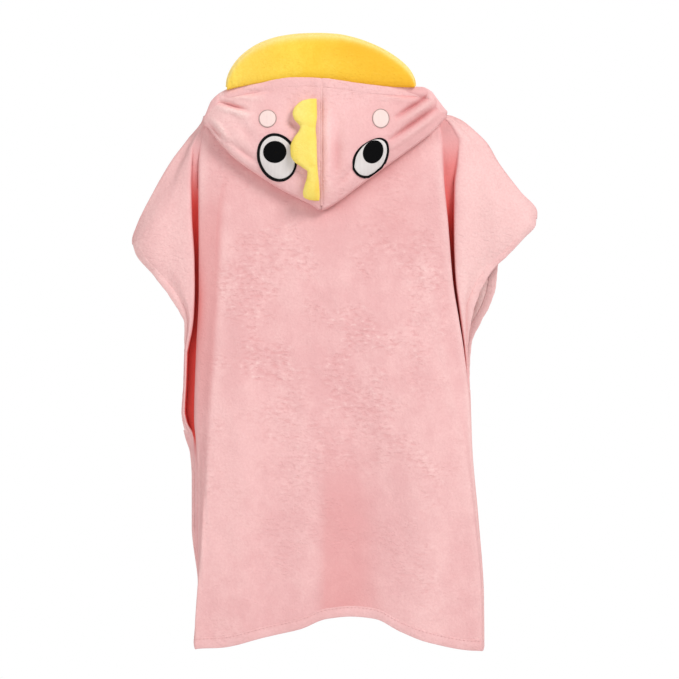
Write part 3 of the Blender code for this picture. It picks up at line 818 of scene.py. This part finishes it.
def make_garment():
    panels, extras = {}, {BACK: [], FRONT: []}
    for layer, word in ((BACK, "back"), (FRONT, "front")):
        panels[layer] = make_panel(word + "_panel_cloth", layer)
        keep(panels[layer], PINK_FLEECE, "garment", "fleece", word + "_panel")
    for layer, word in ((BACK, "back"), (FRONT, "front")):
        hem, stitches = make_bottom_hem(word + "_hem_band", layer)
        keep(hem, BOTTOM_HEM, "garment", "hem_fleece", word + "_hem")
        keep(stitches, PINK_THREAD, "garment", "seam_thread")
        extras[layer] += [hem, stitches]
    for side, word in ((LEFT, "left"), (RIGHT, "right")):
        near = make_sleeve_hem("sleeve_band_" + word, BACK, side)
        far = make_sleeve_hem("sleeve_band_" + word + "_front", FRONT, side)
        keep(near, HEM_FLEECE, "garment", "hem_fleece", "sleeve_hem_" + word)
        keep(far, HEM_FLEECE, "garment", "hem_fleece")
        extras[BACK].append(near)
        extras[FRONT].append(far)
        shoulder_x = np.linspace(NECK_HALF_WIDTH + 0.004, SHOULDER_END, 12)
        top = places(side * shoulder_x, 0, -SHOULDER(shoulder_x) - SEAM_RADIUS * 0.6)
        down = side_path(side, np.linspace(0.0225, TIP_DROP[side] + 0.004, 60))
        shoulder = make_seam("shoulder_roll_" + word, np.concatenate([top, down]))
        keep(shoulder, SEAM_FLEECE, "garment", "seam_thread", "shoulder_seam_" + word)
        seam = make_seam("side_roll_" + word, side_path(side, np.linspace(ARM_BOTTOM[side] - 0.004, 0.637, 90)))
        keep(seam, SEAM_FLEECE, "garment", "seam_thread", "side_seam_" + word)
        extras[BACK] += [shoulder, seam]
    angles = round_angles(96)
    x = NECK_HALF_WIDTH * np.cos(angles)
    reach = np.sin(angles)
    drop = SHOULDER(np.abs(x)) - 0.001
    scoop = np.where(reach < 0, 0.0, NECK_SCOOP * rounded(1 - np.abs(x) / NECK_HALF_WIDTH))
    path = places(x, reach * PANEL_DEPTH(drop + scoop), -drop - scoop)
    ring = np.concatenate([path, path[:1]])
    binding = loop_piece("neck_band", tube_loops(ring, *NECK_ROLL, sides=12))
    keep(binding, HEM_FLEECE, "garment", "hem_fleece", "neck_binding")
    extras[BACK].append(binding)


# ---------------------------------------------------------------- the hood

HOOD_CENTRE = -0.004
HOOD_TOP = {
    LEFT: smooth_mm(
        (0, 18.2), (16, 19.2), (32, 18.9), (48, 17.2), (66, 14.4), (88, 10.4), (108, 5.8), (118, 1), (127, -7),
        (137, -26),
    ),
    RIGHT: smooth_mm(
        (0, 18.2), (20, 16), (40, 13.2), (63, 10.6), (85, 9), (105, 8.6), (116, 8.4), (126, 4), (137, -9.2),
        (146, -18),
    ),
}
HOOD_LOW = {
    LEFT: smooth_mm((0, -132.6), (12, -126), (46.5, -108.7), (73.3, -91.5), (100, -72.4), (117.5, -54.5), (137, -33)),
    RIGHT: smooth_mm((0, -132.6), (12, -127), (45.3, -102.9), (74, -81.9), (103, -60.8), (128, -41.7), (146, -24.5)),
}
HOOD_REACH = {LEFT: 0.1365, RIGHT: 0.1445}
HOOD_FOLD = 0.0032
HOOD_FULLNESS = 0.019
HOOD_END, HOOD_END_SMOOTH = 0.024, 0.022
HOOD_HEM = 0.011
HOOD_SEAM = (0.0017, 0.0008)
NAPE_HEIGHT = -0.0045


def hood_limits(x):
    """The heights of the hood's face edge and of its folded lower edge."""
    out = np.abs(x - HOOD_CENTRE)
    left = x < HOOD_CENTRE
    top = np.where(left, HOOD_TOP[LEFT](out), HOOD_TOP[RIGHT](out))
    low = np.where(left, HOOD_LOW[LEFT](out), HOOD_LOW[RIGHT](out))
    return top, low


def under_depth(z):
    return -(PANEL_DEPTH(-z) + 0.0038)


# The hood's creases in millimetres: how far each presses in, or stands out where negative, its two ends and its
# half width.
HOOD_CREASES = (
    (6.2, (-124, -7.5), (-90, -18.5), 3),
    (-3, (-120, -14.5), (-86, -25.5), 4.2),
    (3.4, (-116, -1), (-64, 4), 2.8),
    (-1.8, (-120, 1), (-74, -6), 4),
    (4.4, (-137, -29), (-118, -51), 3),
    (-2.4, (-130, -28), (-110, -52), 4),
    (2.6, (-108, -56), (-76, -80), 4.2),
    (2.2, (-106, -26), (-80, -56), 7),
    (6.2, (129, 5.5), (82, -26), 3),
    (-3.4, (132, -2), (85, -34), 3.4),
    (5.8, (133, -10.5), (75, -52), 3),
    (-2.6, (138, -16), (78, -61), 3.4),
    (4, (56, 4), (112, -2.5), 2.6),
    (-1.6, (62, -4), (110, -8), 4),
    (2.6, (12, -110), (37, -78), 3.6),
    (3.6, (15, -30), (13, -95), 6),
    (-2, (4.5, 5), (4, -115), 4.2),
    (2.6, (-28, -40), (-43, -33), 4.5),
)


def hood_press(x, z):
    """How far the hood's outer layer is pressed in, or stands out where negative."""
    press = 0.0
    for strength, start, end, width in HOOD_CREASES:
        press = press + strength / 1000 * crease(x, z, np.divide(start, 1000), np.divide(end, 1000), width / 1000)
    press += 0.0007 * bell(x, HOOD_CENTRE, 0.0016)
    press += 0.0013 * waver(x, z, 0.034, 7.7) + 0.0005 * waver(x, z, 0.013, 2.2)
    return press


def hood_depth(x, z):
    """Where the hood's outer layer lies."""
    out = np.abs(x - HOOD_CENTRE)
    top, low = hood_limits(x)
    up = (z - low) / np.maximum(0.004, top - low)
    full = HOOD_FULLNESS * (1 - (out / 0.15) ** 3)
    body = full * rounded(np.minimum(1.0, up * 1.5)) * (1 - 0.15 * clamp(up))
    reach = np.where(x < HOOD_CENTRE, HOOD_REACH[LEFT], HOOD_REACH[RIGHT])
    press = hood_press(x, z) * ease(up, 0.0, 0.16) * ease((reach - out) / HOOD_END_SMOOTH, 0.0, 1.0)
    press = press * mix(1.0, 0.2 + 0.8 * ease(top - z, 0.0, 0.012), ease(out, 0.09, 0.115))
    closing = rounded((reach - out) / HOOD_END)
    gap = mix(HOOD_FLEECE, 2 * HOOD_FOLD, closing)
    return under_depth(z) - gap - np.maximum(body - press, -0.4 * HOOD_FOLD) * closing


def on_hood(x, z, lift, furthest=math.pi):
    """Points that stand off the hood's outer layer by lift. Below its lower edge they go round the fold, and
    furthest is the largest angle that they turn."""
    x, z, lift = np.broadcast_arrays(np.asarray(x, float), np.asarray(z, float), np.asarray(lift, float))
    _, low = hood_limits(x)
    turn = low + HOOD_FOLD
    step = 0.0008
    slope_x = (hood_depth(x + step, z) - hood_depth(x - step, z)) / (2 * step)
    slope_z = (hood_depth(x, z + step) - hood_depth(x, z - step)) / (2 * step)
    normal = unit(places(slope_x, -np.ones_like(x), slope_z))
    flat = places(x, hood_depth(x, z), z) + normal * lift[..., None]
    near, far = hood_depth(x, turn), under_depth(turn)
    angle = np.clip((turn - z) / HOOD_FOLD, 0, furthest)
    y = (near + far) / 2 - ((far - near) / 2 + lift) * np.cos(angle)
    folded = places(x, y, turn - (HOOD_FOLD + lift) * np.sin(angle))
    return np.where((z < turn)[..., None], folded, flat)


def make_hood_half(name, side, columns=64, outer=84, fold=12, under=26):
    """Half the hood: down the outer layer from the face edge, round the lower fold and up to the nape."""
    out = HOOD_REACH[side] * np.linspace(0, 1, columns) ** 0.92
    x = HOOD_CENTRE + side * np.maximum(out, 0.0001)
    top, low = hood_limits(x)
    turn = low + HOOD_FOLD
    points = []
    for share in np.linspace(0, 1, outer):
        z = mix(top, turn, share)
        points.append(places(x, hood_depth(x, z), z))
    for share in np.linspace(0, 1, fold)[1:]:
        points.append(on_hood(x, turn - HOOD_FOLD * math.pi * share, 0.0))
    nape = np.minimum(NAPE_HEIGHT, top - 0.004)
    for share in np.linspace(0, 1, under)[1:]:
        z = mix(turn, nape, share)
        points.append(places(x, under_depth(z), z))
    points = np.array(points)
    # Painted shade in the creases, over the right half, and round the fold and under the hood; painted light on the
    # crease ridges and over the left half.
    press = hood_press(points[..., 0], points[..., 2])
    folded = 0.34 * clamp((press - 0.0006) / 0.004) + 0.22 * ease(points[..., 0], 0.03, 0.1)
    folded[outer:] = 0.15
    painted_light = 0.9 * clamp((-press - 0.0004) / 0.0026)
    painted_light = clamp(painted_light + 0.4 * ease(-points[..., 0], 0.06, 0.1))
    return sheet_piece(name, points, HOOD_FLEECE, (folded, painted_light, np.ones_like(painted_light)))


def oval(centre, half, lean, share, angles, egg=0.0):
    """Points of an oval round a centre, leaning to the right where lean is positive."""
    a, b = share * np.cos(angles), share * np.sin(angles)
    across, up = a * half[0] * (1 - egg * b), b * half[1]
    x = centre[0] + across * math.cos(lean) + up * math.sin(lean)
    z = centre[1] - across * math.sin(lean) + up * math.cos(lean)
    return x, z


# A sewn patch goes only this far round the hood's lower fold, in radians.
PATCH_TURN = 0.8


def make_patch(name, centre, half, lean, low, high, egg=0.0):
    """A sewn patch: flat beneath, crowned above, with a soft edge."""
    angles = round_angles(72)
    profile = [(0.1, low), (0.55, low), (0.97, low), (1.0, mix(low, high, 0.4)), (0.985, mix(low, high, 0.8))]
    profile += [(share, high + 0.0002 * (1 - share)) for share in (0.95, 0.88, 0.78, 0.64, 0.48, 0.3, 0.12)]
    loops = []
    for share, lift in profile:
        x, z = oval(centre, half, lean, share, angles, egg)
        loops.append(on_hood(x, z, lift, PATCH_TURN))
    return loop_piece(name, loops)


def make_outline(name, centre, half, lean, width, lift, height, egg=0.0, widths=None):
    """A satin-stitched line round a patch, with its own UV map in metres along and across the line."""
    count, sides = 120, 10
    angles = round_angles(count)
    size = np.full(count, width) if widths is None else width * widths(angles)
    loops = []
    for turn in round_angles(sides):
        grow = [h + 0.5 * size * (1 + math.cos(turn)) for h in half]
        x, z = oval(centre, grow, lean, 1.0, angles, egg)
        loops.append(on_hood(x, z, lift + height * math.sin(turn), PATCH_TURN))
    points = np.swapaxes(np.array(loops), 0, 1)
    piece = loop_piece(name, points, closed=True)
    around = np.linalg.norm(np.roll(points[:, 0], -1, axis=0) - points[:, 0], axis=1).sum()
    layer = piece.data.uv_layers.new(name="UVMap")
    for face in piece.data.polygons:
        rows = [piece.data.loops[k].vertex_index // sides for k in face.loop_indices]
        late = max(rows) - min(rows) > 1
        for k, row in zip(face.loop_indices, rows):
            side = piece.data.loops[k].vertex_index % sides
            row = row + count if late and row == 0 else row
            layer.data[k].uv = (row / count * around, side * width / sides)
    return piece


EYES = {
    "left": {
        "centre": (-0.0543, -0.0733), "half": (0.0192, 0.0247), "lean": math.radians(-21.8), "egg": 0.0,
        "pupil": (-0.0572, -0.0673), "pupil_half": (0.0133, 0.0124), "pupil_lean": 0.0,
        "line": 0.0034, "thin": lambda a: 1.0 - 0.25 * bell(a, 5.6, 0.8),
    },
    "right": {
        "centre": (0.0526, -0.0729), "half": (0.0146, 0.0232), "lean": math.radians(38.0), "egg": 0.05,
        "pupil": (0.055, -0.0669), "pupil_half": (0.011, 0.0136), "pupil_lean": math.radians(30),
        "line": 0.0029, "thin": lambda a: 1.0 - 0.66 * bell(a, 2.5, 0.62),
    },
}
CHEEKS = {"left": (-0.0658, -0.0288, 0.0094, 0.0096), "right": (0.064, -0.0286, 0.009, 0.0104)}
PATCH_BASE, PATCH_TOP = HOOD_FLEECE / 2 - 0.0003, HOOD_FLEECE / 2 + 0.0007
PUPIL_BASE, PUPIL_TOP = HOOD_FLEECE / 2 + 0.0004, HOOD_FLEECE / 2 + 0.0014
LINE_LIFT, CHEEK_LINE_LIFT = HOOD_FLEECE / 2 + 0.0005, HOOD_FLEECE / 2 + 0.0003
CHEEK_LINE = 0.0009
WHITE_MARGIN = 0.0006


def make_face():
    """The sewn eyes and cheeks. Returns the pieces on each half of the hood."""
    found = {"left": [], "right": []}

    def sew(piece, paint, slot, node, word):
        found[word].append(keep(piece, paint, "hood", slot, node + "_" + word))

    for word, eye in EYES.items():
        shape = eye["centre"], eye["half"], eye["lean"]
        white = make_patch(
            "eye_white_patch_" + word, shape[0], [h + WHITE_MARGIN for h in shape[1]], shape[2],
            PATCH_BASE, PATCH_TOP, eye["egg"],
        )
        sew(white, WHITE_SATIN, "eye_white", "eye_white", word)
        line = make_outline(
            "eye_outline_stitch_" + word, *shape, eye["line"], LINE_LIFT, 0.0007, eye["egg"], eye["thin"],
        )
        sew(line, BLACK_OUTLINE, "eye_black", "eye_outline", word)
        pupil = make_patch(
            "pupil_patch_" + word, eye["pupil"], eye["pupil_half"], eye["pupil_lean"], PUPIL_BASE, PUPIL_TOP,
        )
        sew(pupil, BLACK_SATIN, "eye_black", "pupil", word)
    for word, (x, z, wide, tall) in CHEEKS.items():
        cheek = make_patch("cheek_disc_" + word, (x, z), (wide, tall), 0.0, PATCH_BASE, PATCH_TOP)
        sew(cheek, CHEEK_PALE, "cheek_pale", "cheek_patch", word)
        edge = make_outline(
            "cheek_stitch_" + word, (x, z), (wide, tall), 0.0, CHEEK_LINE, CHEEK_LINE_LIFT, 0.0004,
        )
        sew(edge, CHEEK_EDGE, "cheek_thread", "cheek_outline", word)
    return found


def make_hood():
    halves = {"left": make_hood_half("hood_cloth_left", LEFT), "right": make_hood_half("hood_cloth_right", RIGHT)}
    for word, half in halves.items():
        keep(half, HOOD_PINK, "hood", "hood_fleece", "hood_" + word)
    z = np.linspace(0.01, -0.1285, 90)
    x = np.full(z.shape, HOOD_CENTRE)
    path = on_hood(x, z, HOOD_FLEECE * 0.38)
    seam = loop_piece("hood_seam_roll", tube_loops(path, *HOOD_SEAM))
    keep(seam, SEAM_FLEECE, "hood", "seam_thread", "hood_centre_seam")
    x = np.linspace(HOOD_CENTRE - HOOD_REACH[LEFT], HOOD_CENTRE + HOOD_REACH[RIGHT], 200)
    top, low = hood_limits(x)
    drop = np.minimum(HOOD_HEM, (top - low) * 0.5)
    edge = places(x, hood_depth(x, top), top + 0.0004)
    inner = places(x, hood_depth(x, top - drop), top - drop)
    hem = loop_piece("hood_face_band", band_loops(edge, inner, HOOD_FLEECE * 1.2, 0.0002))
    keep(hem, HOOD_BAND, "hood", "hem_fleece", "hood_face_hem")
    face = make_face()


# ---------------------------------------------------------------- the bill and the crest

BILL_MIDDLE = -0.0365
BILL_LEFT, BILL_RIGHT = -0.113, 0.1036
BILL_TUCK = 0.0008
BILL_ROLL = (0.0013, 0.0016)
BILL_SWELL, CREST_SWELL = 0.003, 0.0012
FILL_PRESSURE = 3.0
BILL_ROUND = smooth(
    (0.0, 0.008), (0.0474, 0.0176), (0.1064, 0.0291), (0.1888, 0.0444), (0.2809, 0.0582), (0.3611, 0.0655),
    (0.4322, 0.0684), (0.49, 0.069), (0.5513, 0.068), (0.6154, 0.0638), (0.7056, 0.0538), (0.8128, 0.0385),
    (0.8866, 0.0272), (0.9568, 0.0157), (1.0, 0.009),
)


def bill_top(x):
    """The height of the bill's round edge, read along a half turn so that its ends can be steep."""
    across = clamp((x - BILL_LEFT) / (BILL_RIGHT - BILL_LEFT))
    return BILL_ROUND(np.arccos(1 - 2 * across) / math.pi)


def bill_low(x):
    return hood_limits(x)[0] - BILL_TUCK


def bill_shell(columns=96, rows=34):
    """Both faces of the bill, as loops that go up one face and down the other."""
    x = mix(BILL_LEFT, BILL_RIGHT, crowded(0.02, 0.98, columns))
    low, high = bill_low(x), bill_top(x)
    up = crowded(0, 1, rows)
    loops = []
    for a, b, c in zip(x, low, high):
        z = mix(b, c, up)
        side = np.minimum(a - BILL_LEFT, BILL_RIGHT - a) + 0.0005
        edge = inside(z - b, c - z, side)
        half = 0.0009 + 0.0052 * rounded(edge / 0.015)
        pucker = 0.0003 * np.sin(a / 0.0075 * 2 * math.pi + 3 * z / 0.03) * bell(edge, 0.0045, 0.0035)
        soft = 0.0007 * waver(np.full(z.shape, a), z, 0.03, 5.5)
        front = places(a, BILL_MIDDLE + soft + (half + pucker), z)
        back = places(a, BILL_MIDDLE + soft - (half + pucker), z)
        loops.append(np.concatenate([back, front[::-1][1:-1]]))
    return np.array(loops)


def fill_pad(piece, held, pressure, most, frames=16):
    """Blows a pad up as cloth under pressure, with some points held, and lets no point move further than most."""
    before = places_of(piece)
    group = piece.vertex_groups.new(name="held")
    for index, weight in enumerate(held(before)):
        group.add([index], float(weight), "REPLACE")
    cloth = piece.modifiers.new("filling", "CLOTH")
    for label, value in {
        "quality": 6, "mass": 0.15, "tension_stiffness": 12.0, "compression_stiffness": 12.0, "shear_stiffness": 6.0,
        "bending_stiffness": 0.08, "use_pressure": True, "uniform_pressure_force": pressure,
        "vertex_group_mass": group.name,
    }.items():
        setattr(cloth.settings, label, value)
    cloth.settings.effector_weights.gravity = 0.0
    cloth.collision_settings.use_collision = False
    cloth.point_cache.frame_start, cloth.point_cache.frame_end = 1, frames
    scene = bpy.context.scene
    for frame_number in range(1, frames + 1):
        scene.frame_set(frame_number)
    puffed = piece.evaluated_get(bpy.context.evaluated_depsgraph_get())
    after = places_of(puffed)
    piece.modifiers.remove(cloth)
    piece.vertex_groups.remove(group)
    scene.frame_set(1)
    moved = after - before
    far = np.linalg.norm(moved, axis=1, keepdims=True)
    moved *= most * np.tanh(far / most) / np.maximum(far, 1e-9)
    for point, place in zip(piece.data.vertices, before + moved):
        point.co = place
    piece.data.update()


def tone_pad(piece, tones):
    """Marks a padded piece with the painted shade and painted light found from the places of its points."""
    places = places_of(piece)
    for label, tone in zip(("folded", "painted_light"), tones(places[:, 0], places[:, 2])):
        mark(piece, label, clamp(tone))
    mark(piece, "brushed", np.ones(len(places)))


def bill_hold(at):
    """The bill is held along its base and its stitched rim."""
    low, top = bill_low(at[:, 0]), bill_top(at[:, 0])
    return 1 - 0.98 * ease(at[:, 2] - low, 0.0015, 0.009) * ease(top - at[:, 2], 0.0004, 0.0045)


def crest_hold(at):
    """The crest is held along the seam that it is sewn into."""
    return 1 - 0.95 * ease(CREST_ROOT(-at[:, 2]) - at[:, 0], 0.001, 0.0055)


def bill_tones(x, z):
    # Painted shade: more orange over the right, in a band high in the middle, and along the base; painted highlight
    # along the round rim and over the left.
    rim = bell(bill_top(x) - z, 0.0, 0.0055)
    folded = 0.34 * ease(x, -0.06, 0.085) * (1 - rim) + 0.12 * bell(z, 0.052, 0.012) * bell(x, 0.03, 0.05)
    folded += 0.16 * bell(z - bill_low(x), 0.0, 0.006)
    painted_light = 0.95 * rim + 0.15 * (1 - ease(x, -0.105, -0.02)) * (1 - rim)
    return folded, painted_light


def crest_tones(x, z):
    # Painted shade along the crest's root, stronger lower down, and painted light in a band towards its outer edge.
    return 0.22 * bell(x, -0.009, 0.004) * ease(-z, 0.04, 0.11), 0.16 * bell(x, -0.028, 0.009)


def make_bill():
    bill = loop_piece("bill_pad", bill_shell())
    tone_pad(bill, bill_tones)
    fill_pad(bill, bill_hold, FILL_PRESSURE, BILL_SWELL)
    keep(bill, BILL_YELLOW, "bill", "bill_fleece", "bill_back_cover", "bill_front_cover", "bill_padding")
    x = mix(BILL_LEFT, BILL_RIGHT, crowded(0, 1, 120))
    path = places(x, BILL_MIDDLE, bill_top(x) + 0.0004)
    roll = loop_piece("bill_edge_roll", tube_loops(path, *BILL_ROLL))
    tone_pad(roll, bill_tones)
    keep(roll, BILL_YELLOW, "bill", "bill_fleece")


CREST_ROOT = smooth_mm(
    (6, -9.4), (26.3, -9), (41.6, -10.4), (53.1, -9.5), (72.3, -9), (87.6, -8.2), (102.9, -6.7), (118.2, -5.7),
    (123.5, -6.4),
)
CREST_EDGE = smooth_mm(
    (6, -18), (8.5, -26.2), (12, -31), (16.8, -35.2), (23.4, -37.1), (30.1, -35.2), (39.2, -28.4), (44, -30),
    (51.2, -35.2), (62.7, -39.6), (72.3, -39), (79, -35.2), (84.7, -27.5), (90.5, -20), (97.1, -20.6), (106, -23.3),
    (114.5, -25.2), (119, -24.4), (122, -19), (123.5, -12),
)
CREST_TOP, CREST_BOTTOM = 0.006, 0.1235
CREST_LIFT = 0.0024


def crest_shell(rows=110, columns=22):
    """Both faces of the crest, as loops round it from its top to its bottom."""
    share = crowded(0, 1, columns)
    loops = []
    for drop in mix(CREST_TOP, CREST_BOTTOM, crowded(0.03, 0.97, rows)):
        root, edge = CREST_ROOT(drop), CREST_EDGE(drop)
        x = mix(root, edge, share)
        ends = min(drop - CREST_TOP, CREST_BOTTOM - drop) + 0.0004
        half = 0.0008 + 0.004 * rounded(inside(root - x, x - edge, ends) / 0.0085)
        waist = 0.0014 * crease(x, -drop, (-0.029, -0.037), (-0.012, -0.041), 0.003)
        waist += 0.0014 * crease(x, -drop, (-0.02, -0.086), (-0.009, -0.086), 0.0028)
        z = np.full(x.shape, -drop)
        rest = hood_depth(np.full(x.shape, mix(root, edge, 0.4)), z) * 0.5 + hood_depth(x, z) * 0.5
        middle = rest - HOOD_FLEECE / 2 - CREST_LIFT - 0.003
        outer = places(x, middle - half + waist, z)
        inner = places(x, middle + half * 0.55, z)
        loops.append(np.concatenate([outer, inner[::-1][1:-1]]))
    return np.array(loops)


def make_crest():
    crest = loop_piece("crest_pad", crest_shell())
    tone_pad(crest, crest_tones)
    fill_pad(crest, crest_hold, FILL_PRESSURE, CREST_SWELL)
    keep(crest, CREST_YELLOW, "crest", "crest_fleece", "crest_outer_cover", "crest_inner_cover", "crest_padding")


make_garment()
make_hood()
make_bill()
make_crest()


# ---------------------------------------------------------------- floor, light and camera

FLOOR_RADIUS, FLOOR_DROP = 1.6, 1.0
VIEW_WIDTH, VIEW_DISTANCE = 0.7836, 2.2
SENSOR = 36.0


def make_stage():
    place = (0, 0, -FLOOR_DROP)
    bpy.ops.mesh.primitive_circle_add(vertices=96, radius=FLOOR_RADIUS, fill_type="NGON", location=place)
    floor = bpy.context.object
    floor.name = "floor"
    bpy.ops.object.transform_apply(location=True)
    made, shader, n = new_material("pale_floor", 0.9, 0.0)
    where = n.add("ShaderNodeTexCoord").outputs["Object"]
    n.put(shader, Base_Color=n.colour(n.noise(where, 3.0), (0.86, 0.86, 0.86), (0.9, 0.9, 0.9)))
    floor.data.materials.append(made)


def make_light(name, place, target, size, power):
    light = bpy.data.lights.new(name, "AREA")
    light.shape = "DISK"
    light.size = size
    light.energy = power
    made = add_object(name, light)
    made.location = place
    made.rotation_euler = (Vector(target) - Vector(place)).to_track_quat("-Z", "Y").to_euler()


ROOM_LIGHT, BACKDROP_LIGHT = 0.42, 1.0


def make_lights():
    world = bpy.data.worlds.new("studio")
    bpy.context.scene.world = world
    world.use_nodes = True
    n = Nodes(world.node_tree)
    seen = n.times(n.add("ShaderNodeLightPath").outputs["Is Camera Ray"], BACKDROP_LIGHT - ROOM_LIGHT)
    n.put(world.node_tree.nodes["Background"], Color=(1.0, 1.0, 1.0), Strength=n.plus(seen, ROOM_LIGHT))
    middle = (0.0, 0.0, -0.25)
    make_light("key", (1.7, -1.9, 1.5), middle, 1.2, 57.0)
    make_light("fill", (-1.9, -1.9, 0.3), middle, 1.6, 22.0)
    make_light("behind", (0.6, 2.2, 1.0), middle, 1.6, 34.0)


def make_camera():
    data = bpy.data.cameras.new("camera")
    data.sensor_width = SENSOR
    data.lens = SENSOR * VIEW_DISTANCE / VIEW_WIDTH
    made = add_object("camera", data)
    made.location = (0.0167, -VIEW_DISTANCE - 0.03, -0.2822)
    made.rotation_euler = (math.pi / 2, 0, 0)
    bpy.context.scene.camera = made
    bpy.context.scene.view_settings.view_transform = "Standard"


make_stage()
make_lights()
make_camera()
